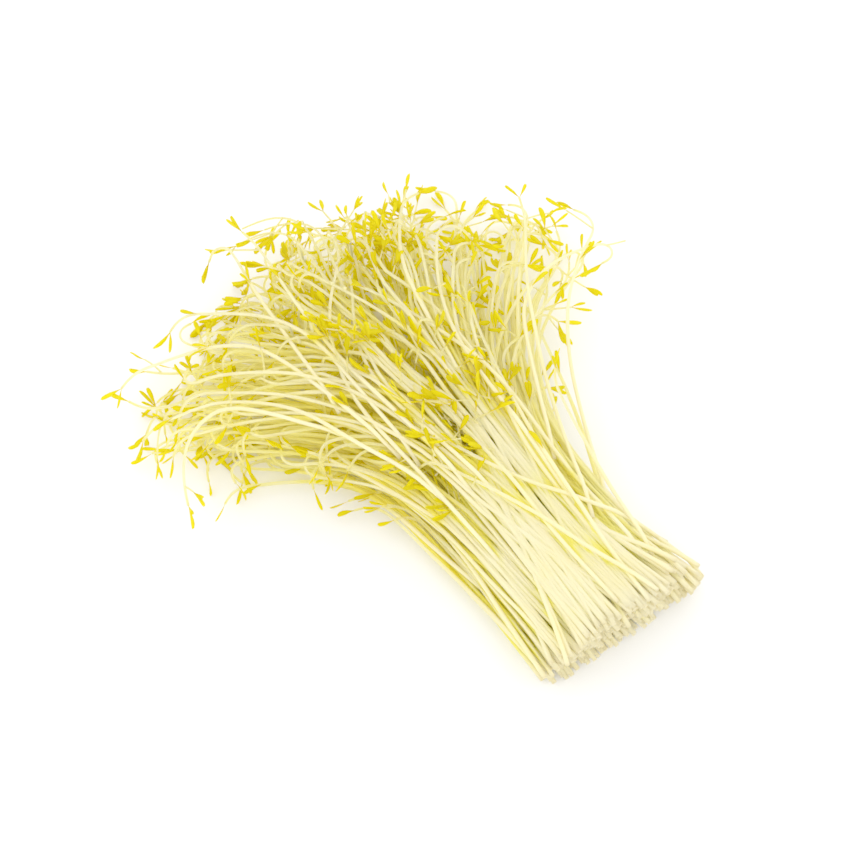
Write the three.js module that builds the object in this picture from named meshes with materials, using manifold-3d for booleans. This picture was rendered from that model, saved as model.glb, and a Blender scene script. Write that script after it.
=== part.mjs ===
// A cut bunch of lentil sprouts, lying on its side as it is sold.
//
// Several hundred pale shoots lie side by side. They are level at the cut ends and fan out to their
// leafy tips. The bunch is built as locks, handfuls of shoots that grew and lie together, in five
// layers, and as single shoots that lie loose on top of the heap.
//
// Millimetres and degrees, +Z up. +Y runs from the cut ends to the tips. The origin is on the
// surface that the bunch lies on, under the middle of its footprint.

import * as THREE from "three";
import { mergeVertices } from "three/addons/utils/BufferGeometryUtils.js";
import Module from "manifold-3d";

const wasm = await Module();
wasm.setup();

// Driving dimensions: the middle of the cut ends, and how far beyond it the right edge's ends lie.
const cutEnd = { x: 4.5, y: -84.7, slant: -2.1 };
const stemDiameter = 1.4;
const tipDiameter = 0.9;
const leaflet = { length: 6.5, width: 2, thickness: 0.9 };

// The fan, at five stations from the left edge to the right: the way the tips point, seen from above
// and positive to the right, and the length from cut end to tip.
const tipHeading = [-69, -59, -14, 24, 54];
const reach = [129, 164, 165, 160, 143];
const converge = 3; // how far the two edges point inwards at the cut ends

// A layer's locks lie side by side across twice halfWidth. Its shoots point along turn at the cut
// ends, and rise by lift where the leafy tops keep the layers apart.
const layers = [
  { name: "bottom", locks: 8, halfWidth: 25.8, lift: 0, turn: -1, shorter: 0 },
  { name: "lower", locks: 8, halfWidth: 26.6, lift: 3, turn: -5, shorter: 3 },
  { name: "middle", locks: 8, halfWidth: 25.8, lift: 7, turn: 0, shorter: 6 },
  { name: "upper", locks: 7, halfWidth: 21.5, lift: 12, turn: -4, shorter: 10 },
  { name: "top", locks: 5, halfWidth: 14.5, lift: 18, turn: -2, shorter: 16 },
];
const lockGap = 0.6; // between neighbours in a layer
const layerGap = 0.8; // between one layer and the next
const lockHalfHeight = { cutEnd: 1.75, parting: 1 };
const fluteDepth = 0.2; // a lock's body is ridged like the shoots in it
const unevenCut = 3; // how much further back some locks are cut
const partAt = 0.64; // how far along a lock its shoots part

// The tips that stand clear of a lock's body: how far the outer ones lean aside where they part and
// by how much more at their ends, the share by which some fall short, and where their leaflets point.
const lockTips = { shoots: 3, aside: 1.45, spread: 4.4, short: 0.12, leaflets: [-28, 24] };

// Single shoots on top of the heap: where each starts from the middle of the cut ends, the way it
// points there, how far it turns on the way, its length and the turn of its hooked tip.
const looseShoots = [
  { x: 8, y: 30, heading: 2, turn: 37, length: 117, hook: 143 },
  { x: 7, y: 22, heading: 0, turn: 26, length: 69, hook: 3 },
  { x: 15, y: 10, heading: -1, turn: -22, length: 130, hook: 33 },
  { x: -17, y: 29, heading: -7, turn: 54, length: 129, hook: -41 },
  { x: -8, y: 48, heading: -11, turn: 45, length: 87, hook: -7 },
  { x: -13, y: 51, heading: -7, turn: 19, length: 115, hook: -19 },
  { x: 26, y: 14, heading: -37, turn: 14, length: 82, hook: 12 },
  { x: -1, y: 5, heading: -2, turn: -5, length: 91, hook: 0 },
  { x: 6, y: 0, heading: 4, turn: 13, length: 104, hook: 3 },
  { x: 10, y: 1, heading: -19, turn: -11, length: 76, hook: -13 },
  { x: 13, y: 50, heading: 26, turn: 83, length: 95, hook: 170 },
  { x: -29, y: 96, heading: 4, turn: 5, length: 73, hook: -123 },
  { x: 4, y: 78, heading: 11, turn: 31, length: 79, hook: 49 },
  { x: -30, y: 89, heading: -38, turn: -112, length: 71, hook: -8 },
  { x: 19, y: 31, heading: 24, turn: 39, length: 101, hook: -95 },
  { x: 10, y: 29, heading: 22, turn: 17, length: 109, hook: -16 },
  { x: 17, y: 11, heading: 9, turn: 5, length: 63, hook: 27 },
  { x: -20, y: 57, heading: -20, turn: -50, length: 98, hook: -39 },
  { x: -23, y: 75, heading: -12, turn: -63, length: 97, hook: -38 },
  { x: -20, y: 70, heading: -2, turn: -45, length: 97, hook: -71 },
];
const restGap = 0.45; // between a loose shoot and what it lies on
const looseLeaflets = [-34, 4, 38]; // where a loose shoot's leaflets point, from the way it points

const radians = THREE.MathUtils.degToRad;
const smooth = THREE.MathUtils.smoothstep;

/** Reads five stations at u, from -1 at the left edge to 1 at the right. */
function across(stations, u) {
  const at = ((u + 1) / 2) * (stations.length - 1);
  const left = Math.min(Math.floor(at), stations.length - 2);
  return THREE.MathUtils.lerp(stations[left], stations[left + 1], at - left);
}

/** An even scatter from 0 to 1 that is the same on every run. */
function scatter(n, channel = 0) {
  const value = n * 0.61803398875 + channel * 0.754877666;
  return value - Math.floor(value);
}

/** A shoot's radius at t, from its foot or where it parts to its tip. */
function stemRadius(t) {
  return THREE.MathUtils.lerp(stemDiameter, tipDiameter, t) / 2;
}

/** Walks a line over the surface from start, turning as heading(s) says, with s from 0 to 1. */
function walk(start, length, heading, height) {
  const steps = 48;
  const points = [];
  let { x, y } = start;
  for (let i = 0; i <= steps; i++) {
    const s = i / steps;
    points.push(new THREE.Vector3(x, y, height(s)));
    const angle = radians(heading((i + 0.5) / steps));
    x += (Math.sin(angle) * length) / steps;
    y += (Math.cos(angle) * length) / steps;
  }
  return points;
}

/** Bends a standing tube of radius 1 and height 1 along a line of points, to its size at each t. */
function bendAlong(points, tube, halfWidth, halfHeight = halfWidth) {
  const curve = new THREE.CatmullRomCurve3(points);
  const up = new THREE.Vector3(0, 0, 1);
  const place = tube.getAttribute("position");
  for (let i = 0; i < place.count; i++) {
    const t = THREE.MathUtils.clamp(place.getY(i) + 0.5, 0, 1);
    const along = curve.getTangentAt(t);
    const side = along.clone().cross(up).normalize();
    const top = side.clone().cross(along);
    const point = curve.getPointAt(t);
    point.addScaledVector(side, place.getX(i) * halfWidth(t));
    point.addScaledVector(top, place.getZ(i) * halfHeight(t));
    place.setXYZ(i, point.x, point.y, point.z);
  }
  return tube;
}

/** A tube of radius 1 and height 1 with six ridges, like shoots that lie side by side. */
function ridgedTube(rings) {
  const tube = new THREE.CylinderGeometry(1, 1, 1, 12, rings);
  const place = tube.getAttribute("position");
  for (let i = 0; i < place.count; i++) {
    const angle = Math.atan2(place.getX(i), place.getZ(i));
    const inward = 1 - fluteDepth * (0.5 - 0.5 * Math.cos(6 * angle));
    place.setXYZ(i, place.getX(i) * inward, place.getY(i), place.getZ(i) * inward);
  }
  return tube;
}

/** One narrow leaflet from its foot, pointing along a heading and a rise. */
function leafletAt(foot, heading, rise) {
  const blade = new THREE.OctahedronGeometry(1);
  blade.scale(leaflet.width / 2, leaflet.length / 2, leaflet.thickness / 2);
  blade.translate(0, leaflet.length * 0.45, 0);
  blade.rotateX(radians(rise));
  blade.rotateZ(radians(-heading));
  return blade.translate(foot.x, foot.y, foot.z);
}

/** The leaflets at the end of a shoot, opened in a V about the way it points. */
function leafTuft(points, spreads) {
  const tip = points[points.length - 1];
  const before = points[points.length - 4];
  const heading = THREE.MathUtils.radToDeg(Math.atan2(tip.x - before.x, tip.y - before.y));
  return spreads.map((spread, i) => leafletAt(tip, heading + spread, i % 2 ? 6 : -4));
}

/** A closed geometry as a solid that can be joined to others. */
function solidOf(geometry) {
  const bare = geometry.clone();
  bare.deleteAttribute("normal");
  bare.deleteAttribute("uv");
  const merged = mergeVertices(bare, 1e-4);
  const { position } = merged.attributes;
  return new wasm.Manifold(
    new wasm.Mesh({
      numProp: 3,
      vertProperties: new Float32Array(position.array),
      triVerts: new Uint32Array(merged.index.array),
    }),
  );
}

/** Joins closed geometries that run into each other into one solid. */
function joined(geometries) {
  const whole = geometries.map(solidOf).reduce((sum, next) => sum.add(next));
  const mesh = whole.getMesh();
  const geometry = new THREE.BufferGeometry();
  geometry.setAttribute("position", new THREE.BufferAttribute(mesh.vertProperties, 3));
  geometry.setIndex(new THREE.BufferAttribute(mesh.triVerts, 1));
  geometry.computeVertexNormals();
  return geometry;
}

/** Half the height of a lock's body at s along it. */
function halfHeightAt(s) {
  return THREE.MathUtils.lerp(lockHalfHeight.cutEnd, lockHalfHeight.parting, Math.min(1, s / partAt));
}

/** The middle line of a lock of the layer with this number, at u across it. */
function lockLine(layer, number, u) {
  const tip = across(tipHeading, u);
  const foot = {
    x: cutEnd.x + u * layer.halfWidth,
    y: cutEnd.y + u * cutEnd.slant + unevenCut * scatter(u * 7 + number),
  };
  const turnAt = 0.25 + 0.2 * (1 - Math.abs(u)) - 0.07 * u;
  const heading = (s) => {
    const gathered = layer.turn - converge * u * (1 - smooth(s, 0, 0.4));
    return THREE.MathUtils.lerp(gathered, tip, smooth(s, turnAt, 0.93));
  };
  const rise = layer.lift * (1 - 0.45 * u * u);
  const height = (s) =>
    (2 * number + 1) * halfHeightAt(s) +
    number * layerGap +
    rise * (smooth(s, 0.12, 0.72) - 0.2 * smooth(s, 0.75, 1));
  return walk(foot, across(reach, u) - layer.shorter, heading, height);
}

/** A single shoot's line out of a lock, leaning aside from the lock's own line and bobbing up. */
function tipLine(line, from, to, lean, bob) {
  const steps = line.length - 1;
  const first = Math.round(from * steps);
  const last = Math.round(to * steps);
  const points = [];
  for (let i = first; i <= last; i++) {
    const t = (i - first) / (last - first);
    const ahead = line[Math.min(i + 1, steps)];
    const behind = line[Math.max(i - 1, 0)];
    const side = new THREE.Vector3(ahead.y - behind.y, behind.x - ahead.x, 0).normalize();
    const point = line[i].clone().addScaledVector(side, lean * (lockTips.aside + lockTips.spread * t * t));
    points.push(point.setZ(point.z + bob * t * t));
  }
  return points;
}

/** A lock: its body from the cut ends to where the shoots part, and the shoots' leafy tips. */
function lock(layer, number, index, supports) {
  const u = ((index + 0.5) / layer.locks) * 2 - 1;
  const line = lockLine(layer, number, u);
  const steps = line.length - 1;
  const halfWidth = layer.halfWidth / layer.locks - lockGap / 2;
  const trunk = line.slice(0, Math.round(partAt * steps) + 1);
  const widthAt = (t) => halfWidth * (1 - 0.2 * t);
  const heightAt = (t) => halfHeightAt(t * partAt);
  const pieces = [bendAlong(trunk, ridgedTube(4), widthAt, heightAt)];
  restOn(supports, trunk, halfWidth, lockHalfHeight.cutEnd);
  for (let k = 0; k < lockTips.shoots; k++) {
    const lean = (k / (lockTips.shoots - 1)) * 2 - 1;
    const order = index * lockTips.shoots + k;
    const share = 1 - lockTips.short * scatter(order, number);
    const bob = (0.8 + 0.6 * number) * (2 * scatter(order, number + 5) - (number ? 1 : 0.2));
    const shoot = tipLine(line, partAt - 0.04, share, lean, bob);
    pieces.push(bendAlong(shoot, new THREE.CylinderGeometry(1, 1, 1, 4, 4), stemRadius));
    pieces.push(...leafTuft(shoot, lockTips.leaflets));
    restOn(supports, shoot, stemDiameter / 2, stemDiameter / 2);
    restOn(supports, shoot.slice(-1), leaflet.length, 1.2);
  }
  return joined(pieces);
}

/** Notes what a loose shoot can rest on: spots, how far they reach round them, and their tops. */
function restOn(supports, points, reachRound, halfHeight) {
  supports.push(...points.map((p) => ({ x: p.x, y: p.y, reach: reachRound, top: p.z + halfHeight })));
}

/** Lays a line on the heap: over what is under each point, and straight across the hollows. */
function layOn(supports, points) {
  const radius = stemDiameter / 2;
  const floor = points.map((p, i) => {
    const clear = i > points.length - 4 ? leaflet.length : 1.6;
    const under = supports.filter((s) => Math.hypot(p.x - s.x, p.y - s.y) < s.reach + radius + clear);
    return Math.max(radius, ...under.map((s) => s.top + restGap + radius));
  });
  const height = floor.slice();
  for (let pass = 0; pass < 400; pass++) {
    for (let i = 1; i < height.length - 1; i++) {
      height[i] = Math.max(floor[i], (height[i - 1] + height[i + 1]) / 2 - 0.004);
    }
  }
  return points.map((p, i) => new THREE.Vector3(p.x, p.y, height[i]));
}

/** A single shoot, from its cut end to its leafy tip, laid on the heap. */
function looseShoot(shoot, supports) {
  const { heading, turn, hook, length } = shoot;
  const start = { x: cutEnd.x + shoot.x, y: cutEnd.y + shoot.y };
  const way = (s) => heading + turn * smooth(s, 0.35, 0.9) + hook * smooth(s, 0.86, 1);
  const line = layOn(supports, walk(start, length, way, () => 0));
  restOn(supports, line, stemDiameter / 2, stemDiameter / 2);
  restOn(supports, line.slice(-1), leaflet.length, 1.2);
  const stem = bendAlong(line, new THREE.CylinderGeometry(1, 1, 1, 5, 16), stemRadius);
  return joined([stem, ...leafTuft(line, looseLeaflets)]);
}

const shootFinish = new THREE.MeshStandardMaterial({ color: 0xf1eab0, roughness: 0.45, metalness: 0 });

function buildBunch() {
  const bunch = new THREE.Group();
  bunch.name = "lentil_sprout_bunch";
  const add = (name, geometry) => {
    const mesh = new THREE.Mesh(geometry, shootFinish.clone());
    mesh.name = name;
    bunch.add(mesh);
  };
  const supports = [];
  layers.forEach((layer, number) => {
    for (let i = 0; i < layer.locks; i++) {
      add(`${layer.name}_lock_${i + 1}`, lock(layer, number, i, supports));
    }
  });
  looseShoots.forEach((shoot, i) => add(`loose_shoot_${i + 1}`, looseShoot(shoot, supports)));
  return bunch;
}

export default buildBunch();
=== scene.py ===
import math

import bmesh
import bpy
import numpy as np
from mathutils import Matrix, Vector


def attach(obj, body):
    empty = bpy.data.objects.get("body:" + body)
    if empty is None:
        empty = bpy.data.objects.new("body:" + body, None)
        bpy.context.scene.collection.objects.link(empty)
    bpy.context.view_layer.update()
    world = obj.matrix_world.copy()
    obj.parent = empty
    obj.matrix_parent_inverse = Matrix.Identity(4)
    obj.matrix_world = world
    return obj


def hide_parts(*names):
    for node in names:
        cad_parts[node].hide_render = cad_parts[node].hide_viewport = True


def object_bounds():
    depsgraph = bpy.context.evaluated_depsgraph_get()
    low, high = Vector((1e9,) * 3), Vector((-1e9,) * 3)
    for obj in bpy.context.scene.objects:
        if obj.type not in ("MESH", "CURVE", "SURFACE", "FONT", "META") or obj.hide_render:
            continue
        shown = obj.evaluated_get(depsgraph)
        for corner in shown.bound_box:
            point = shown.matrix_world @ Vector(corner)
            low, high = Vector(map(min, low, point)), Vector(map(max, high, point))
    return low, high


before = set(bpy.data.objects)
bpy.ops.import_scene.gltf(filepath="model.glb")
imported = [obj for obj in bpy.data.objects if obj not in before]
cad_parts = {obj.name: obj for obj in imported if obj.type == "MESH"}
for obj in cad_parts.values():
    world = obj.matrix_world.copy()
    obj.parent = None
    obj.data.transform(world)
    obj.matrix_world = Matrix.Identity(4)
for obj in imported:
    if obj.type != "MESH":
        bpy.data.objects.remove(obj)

# The layout is in millimetres and degrees. A heading is a way over the floor, to the right of +Y.
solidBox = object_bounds()
rng = np.random.default_rng(23)
mm = 0.001
boxLow, boxHigh = np.array(solidBox[0]) / mm, np.array(solidBox[1]) / mm
scene = bpy.context.scene

view = {
    "azimuth": -37,
    "elevation": 63,
    "distance": 560,
    "aim": (-1.6, 0.3, 8),
    "lens": 80,
    "clipEnd": 20,
}


def placeCamera():
    azimuth, elevation = math.radians(view["azimuth"]), math.radians(view["elevation"])
    away = Vector((
        math.sin(azimuth) * math.cos(elevation),
        -math.cos(azimuth) * math.cos(elevation),
        math.sin(elevation),
    ))
    cameraData = bpy.data.cameras.new("camera")
    cameraData.lens = view["lens"]
    cameraData.clip_end = view["clipEnd"]
    camera = bpy.data.objects.new("camera", cameraData)
    camera.location = (Vector(view["aim"]) + away * view["distance"]) * mm
    camera.rotation_euler = (-away).to_track_quat("-Z", "Y").to_euler()
    scene.collection.objects.link(camera)
    scene.camera = camera


placeCamera()
print("camera placed")

# How the bunch lies, with the same values as the solids. tipHeading and reach run from the left of
# the fan to the right, and the places of the loose shoots count from the cut end.
bunch = {
    "cutEnd": (4.5, -84.7),
    "cutSlant": -2.1,
    "cutUneven": 3,
    "tipHeading": [-69, -59, -14, 24, 54],
    "reach": [129, 164, 165, 160, 143],
    "converge": 3,
    "lockHalfHeight": (1.75, 1.0),
    "partAt": 0.64,
    "layerGap": 0.8,
    "lowerSides": 0.45,
    "rise": (0.12, 0.72),
    "droop": 0.2,
    "droopOver": (0.75, 1),
    "layers": [
        {"name": "bottom", "locks": 8, "halfWidth": 25.8, "lift": 0, "turn": -1, "shorter": 0},
        {"name": "lower", "locks": 8, "halfWidth": 26.6, "lift": 3, "turn": -5, "shorter": 3},
        {"name": "middle", "locks": 8, "halfWidth": 25.8, "lift": 7, "turn": 0, "shorter": 6},
        {"name": "upper", "locks": 7, "halfWidth": 21.5, "lift": 12, "turn": -4, "shorter": 10},
        {"name": "top", "locks": 5, "halfWidth": 14.5, "lift": 18, "turn": -2, "shorter": 16},
    ],
    "looseShoots": [
        {"x": 8, "y": 30, "heading": 2, "turn": 37, "length": 117, "hook": 143},
        {"x": 7, "y": 22, "heading": 0, "turn": 26, "length": 69, "hook": 3},
        {"x": 15, "y": 10, "heading": -1, "turn": -22, "length": 130, "hook": 33},
        {"x": -17, "y": 29, "heading": -7, "turn": 54, "length": 129, "hook": -41},
        {"x": -8, "y": 48, "heading": -11, "turn": 45, "length": 87, "hook": -7},
        {"x": -13, "y": 51, "heading": -7, "turn": 19, "length": 115, "hook": -19},
        {"x": 26, "y": 14, "heading": -37, "turn": 14, "length": 82, "hook": 12},
        {"x": -1, "y": 5, "heading": -2, "turn": -5, "length": 91, "hook": 0},
        {"x": 6, "y": 0, "heading": 4, "turn": 13, "length": 104, "hook": 3},
        {"x": 10, "y": 1, "heading": -19, "turn": -11, "length": 76, "hook": -13},
        {"x": 13, "y": 50, "heading": 26, "turn": 83, "length": 95, "hook": 170},
        {"x": -29, "y": 96, "heading": 4, "turn": 5, "length": 73, "hook": -123},
        {"x": 4, "y": 78, "heading": 11, "turn": 31, "length": 79, "hook": 49},
        {"x": -30, "y": 89, "heading": -38, "turn": -112, "length": 71, "hook": -8},
        {"x": 19, "y": 31, "heading": 24, "turn": 39, "length": 101, "hook": -95},
        {"x": 10, "y": 29, "heading": 22, "turn": 17, "length": 109, "hook": -16},
        {"x": 17, "y": 11, "heading": 9, "turn": 5, "length": 63, "hook": 27},
        {"x": -20, "y": 57, "heading": -20, "turn": -50, "length": 98, "hook": -39},
        {"x": -23, "y": 75, "heading": -12, "turn": -63, "length": 97, "hook": -38},
        {"x": -20, "y": 70, "heading": -2, "turn": -45, "length": 97, "hook": -71},
    ],
}


def smooth(value, low, high):
    t = np.clip((value - low) / (high - low), 0, 1)
    return t * t * (3 - 2 * t)


# A stem's rings are even along its body and closer over tipLength. A stalk has the finish of a shoot's
# last part, and from is where that part starts.
stemShape = {
    "sides": 8,
    "bodyRings": 24,
    "tipRings": 14,
    "tipLength": 16.0,
    "footRadius": 0.68,
    "tipRadius": 0.36,
    "taper": 0.14,
    "thinner": 0.22,
    "thinnerOver": (0.45, 0.9),
    "tipOver": (0.88, 1),
    "cutInset": 0.22,
}
stalkShape = {
    "sides": 5,
    "rings": 6,
    "from": 0.92,
    "radius": (0.32, 0.25),
    "length": (3, 8),
    "yaw": (25, 65),
    "pitch": (-5, 25),
    "bend": 0.35,
    "bendYaw": 30,
    "bendPitch": (-20, 20),
    "offFloor": 0.3,
}
curlShape = {
    "sides": 6,
    "rings": 20,
    "from": 0.7,
    "radius": (0.48, 0.26),
    "sunk": 2,
    "lowest": 2,
    "arch": 3.5,
    "clearance": 0.3,
    "turnOver": (0.45, 1),
    "leavesHeap": (0.55, 0.9),
    "stalkAt": (13, 17),
}


def stemForm(name, rings, sides, start):
    # A round tube of radius 1 from z 0 to 1, closed at both ends, for a shoot from start to its tip.
    bm = bmesh.new()
    uv = bm.loops.layers.uv.new("shootMap")
    along = bm.verts.layers.float.new("along")
    bmesh.ops.create_circle(bm, segments=sides, radius=1.0, cap_ends=False)
    edges = footEdges = list(bm.edges)
    for _ in range(rings - 1):
        grown = bmesh.ops.extrude_edge_only(bm, edges=edges)["geom"]
        verts = [item for item in grown if isinstance(item, bmesh.types.BMVert)]
        edges = [item for item in grown if isinstance(item, bmesh.types.BMEdge)]
        bmesh.ops.translate(bm, verts=verts, vec=(0, 0, 1 / (rings - 1)))
    bmesh.ops.contextual_create(bm, geom=edges)
    cut = bmesh.ops.contextual_create(bm, geom=footEdges)["faces"]
    bmesh.ops.inset_region(bm, faces=cut, thickness=stemShape["cutInset"], use_even_offset=True)
    bmesh.ops.recalc_face_normals(bm, faces=bm.faces)
    for face in bm.faces:
        face.smooth = len(face.verts) == 4 and abs(face.normal.z) < 0.5
        for loop in face.loops:
            place = loop.vert.co
            loop[uv].uv = (math.atan2(place.y, place.x) / math.tau + 0.5, place.z)
    for vert in bm.verts:
        vert[along] = start + (1 - start) * vert.co.z
    form = bpy.data.meshes.new(name)
    bm.to_mesh(form)
    bm.free()
    return form


# footWidth and thickness are shares of the width, and bluntOver is the share of the length over which
# the end rounds off. A leaflet may lie roomOutside the solids' box, and no further. heapRadius is the
# room that it takes on the heap.
leaf = {
    "length": (4.8, 7.7),
    "width": (1.1, 2.05),
    "narrower": 0.7,
    "footWidth": 0.2,
    "widestAt": 0.6,
    "bluntFrom": 0.7,
    "bluntOver": 0.3,
    "thickness": 0.32,
    "segments": 6,
    "rings": 7,
    "roomOutside": 3,
    "offFloor": 0.05,
    "heapRadius": 0.45,
}

# How the leaflets stand at the end of a shoot: 1 to 4 of them, by those chances, in a V.
tuft = {
    "chances": [0.26, 0.52, 0.16, 0.06],
    "narrow": (4, 14),
    "wide": (14, 46),
    "pairWider": 1.6,
    "yawJitter": 5,
    "pitchJitter": 6,
    "rollJitter": 0.5,
    "toneJitter": 0.12,
}

# One or two leaflets that lie close along a stem.
pressed = {
    "chances": [0.6, 0.4],
    "between": (0.42, 0.9),
    "yaw": (6, 26),
    "pitch": (0, 10),
    "rollJitter": 0.6,
    "outFromMiddle": 0.7,
    "narrower": 0.9,
}


def leafForm(name, fold, arch, twist, curve):
    # A narrow leaflet one unit long from its foot at y 0, closed, folded along its midrib and arched.
    bm = bmesh.new()
    bmesh.ops.create_uvsphere(bm, u_segments=leaf["segments"], v_segments=leaf["rings"], radius=1.0,
                              matrix=Matrix.Rotation(math.radians(90), 4, "X"))
    uv = bm.loops.layers.uv.new("shootMap")
    along = bm.verts.layers.float.new("along")
    for vert in bm.verts:
        x, y, z = vert.co
        t = (y + 1) / 2
        ring = max(1e-6, math.hypot(x, z))
        widened = leaf["footWidth"] + (1 - leaf["footWidth"]) * float(smooth(t, 0.05, leaf["widestAt"]))
        blunt = math.sqrt(max(0, 1 - (max(0, t - leaf["bluntFrom"]) / leaf["bluntOver"]) ** 3))
        x, z = x / ring * widened * blunt * 0.5, z / ring * widened * blunt * 0.5
        vert[along] = t
        bent = arch * (t - t * t) + twist * x * (t - 0.5)
        vert.co = (x + curve * (t - t * t), t, z * leaf["thickness"] + fold * abs(x) + bent)
    for face in bm.faces:
        face.smooth = True
        face.material_index = 1
        for loop in face.loops:
            loop[uv].uv = (loop.vert.co.x + 0.5, loop.vert.co.y)
    bmesh.ops.recalc_face_normals(bm, faces=bm.faces)
    form = bpy.data.meshes.new(name)
    bm.to_mesh(form)
    bm.free()
    return form


def formPoints(form):
    points = np.empty(len(form.vertices) * 3)
    form.vertices.foreach_get("co", points)
    return points.reshape(-1, 3)


stemRings = stemShape["bodyRings"] + stemShape["tipRings"]
stem = stemForm("stem", stemRings, stemShape["sides"], 0)
stalk = stemForm("stalk", stalkShape["rings"], stalkShape["sides"], stalkShape["from"])
curledStalk = stemForm("curledStalk", curlShape["rings"], curlShape["sides"], curlShape["from"])
leaves = [
    leafForm("leafOpen", fold=0.25, arch=0.3, twist=0.6, curve=0.25),
    leafForm("leafFolded", fold=0.8, arch=0.15, twist=-0.5, curve=-0.35),
    leafForm("leafArched", fold=0.35, arch=0.9, twist=0.8, curve=-0.2),
    leafForm("leafHooked", fold=0.5, arch=0.5, twist=-0.4, curve=0.9),
]
forms = [stem, stalk, curledStalk, *leaves]
pointsOf = {form.name: formPoints(form) for form in forms}
print("forms made:", len(forms))


def across(stations, u):
    # The value at u, which is -1 at the left of the bunch and 1 at the right.
    return float(np.interp((u + 1) / 2 * (len(stations) - 1), range(len(stations)), stations))


def scatter(n):
    # Well spread values from 0 to 1, by steps of the golden share.
    value = n * 0.61803398875
    return value - math.floor(value)


def halfHeightAt(s):
    cut, parting = bunch["lockHalfHeight"]
    return cut + (parting - cut) * np.minimum(1, s / bunch["partAt"])


def lockHeight(layer, number, u, s):
    # The height of the solid's middle line in that layer, at the share s of its reach.
    rise = layer["lift"] * (1 - bunch["lowerSides"] * u * u)
    lifted = rise * (smooth(s, *bunch["rise"]) - bunch["droop"] * smooth(s, *bunch["droopOver"]))
    return (2 * number + 1) * halfHeightAt(s) + number * bunch["layerGap"] + lifted


def stepsAlong(length):
    parted = 1 - stemShape["tipLength"] / length
    body = np.linspace(0, parted, stemShape["bodyRings"] + 1)[:-1]
    return np.concatenate([body, np.linspace(parted, 1, stemShape["tipRings"])])


def radiusAlong(steps, foot):
    thinner = stemShape["thinner"] * smooth(steps, *stemShape["thinnerOver"])
    thinned = 1 - stemShape["taper"] * steps - thinner
    tip = smooth(steps, *stemShape["tipOver"])
    return foot * thinned * (1 - tip) + stemShape["tipRadius"] * tip


def trace(start, length, heading):
    # Points over the surface from start, at even steps, turning as the headings say.
    step = length / len(heading)
    turned = np.radians(heading)
    x = start[0] + np.concatenate([[0], np.cumsum(np.sin(turned))]) * step
    y = start[1] + np.concatenate([[0], np.cumsum(np.cos(turned))]) * step
    return np.stack([x, y], 1)


# What has been laid so far is a field of heights, in square cells from low. testedAt and stampedAt are
# places across a stem, and bendRadius is the tightest that a stem bends as it settles. A stem tries
# the slides at slideSteps places, and the first slideJudged of them count.
heap = {
    "cell": 0.4,
    "low": (-95.0, -97.0),
    "cells": (480, 490),
    "testedAt": (-0.9, -0.45, 0, 0.45, 0.9),
    "stampedAt": (-0.95, -0.7, -0.35, 0, 0.35, 0.7, 0.95),
    "stampStep": 0.3,
    "slides": (0, -0.5, 0.5, -1.0, 1.0, -1.5, 1.5),
    "slideCost": 0.02,
    "slideSteps": 90,
    "slideJudged": 70,
    "outermost": 0.85,
    "restSteps": 260,
    "springsOver": (0.25, 0.6),
    "bendRadius": 60.0,
    "bendRounds": 120,
    "easeRounds": 3,
}
field = np.zeros(heap["cells"])
fieldLow = np.array(heap["low"])
lastCell = np.array(heap["cells"]) - 1


def cellsAt(points):
    found = np.clip(((points - fieldLow) / heap["cell"]).astype(int), 0, lastCell)
    return found[..., 0], found[..., 1]


def sidewaysOf(path):
    ahead = np.gradient(path, axis=0)
    ahead /= np.maximum(1e-9, np.linalg.norm(ahead, axis=1))[:, None]
    return np.stack([ahead[:, 1], -ahead[:, 0]], 1)


def needOf(spot, side, thick):
    # How high the middle of a shoot has to be over each spot, to lie on the heap.
    need = thick.copy()
    for share in heap["testedAt"]:
        under = field[cellsAt(spot + side * (thick * share)[:, None])]
        need = np.maximum(need, under + thick * math.sqrt(1 - share * share))
    return need


def settleSideways(path, radius, u):
    # Slides the whole shoot into the lowest groove near it, but the outermost ones never outwards.
    fine = np.linspace(0, len(path) - 1, heap["slideSteps"]).astype(int)
    spot, side = path[fine], sidewaysOf(path[fine])
    costs = {}
    for shift in heap["slides"]:
        if shift * u > 0 and abs(u) > heap["outermost"]:
            continue
        need = needOf(spot + np.array([shift, 0]), side, np.full(len(fine), radius))
        costs[shift] = need[:heap["slideJudged"]].mean() + heap["slideCost"] * abs(shift)
    return path + np.array([min(costs, key=costs.get), 0])


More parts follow.
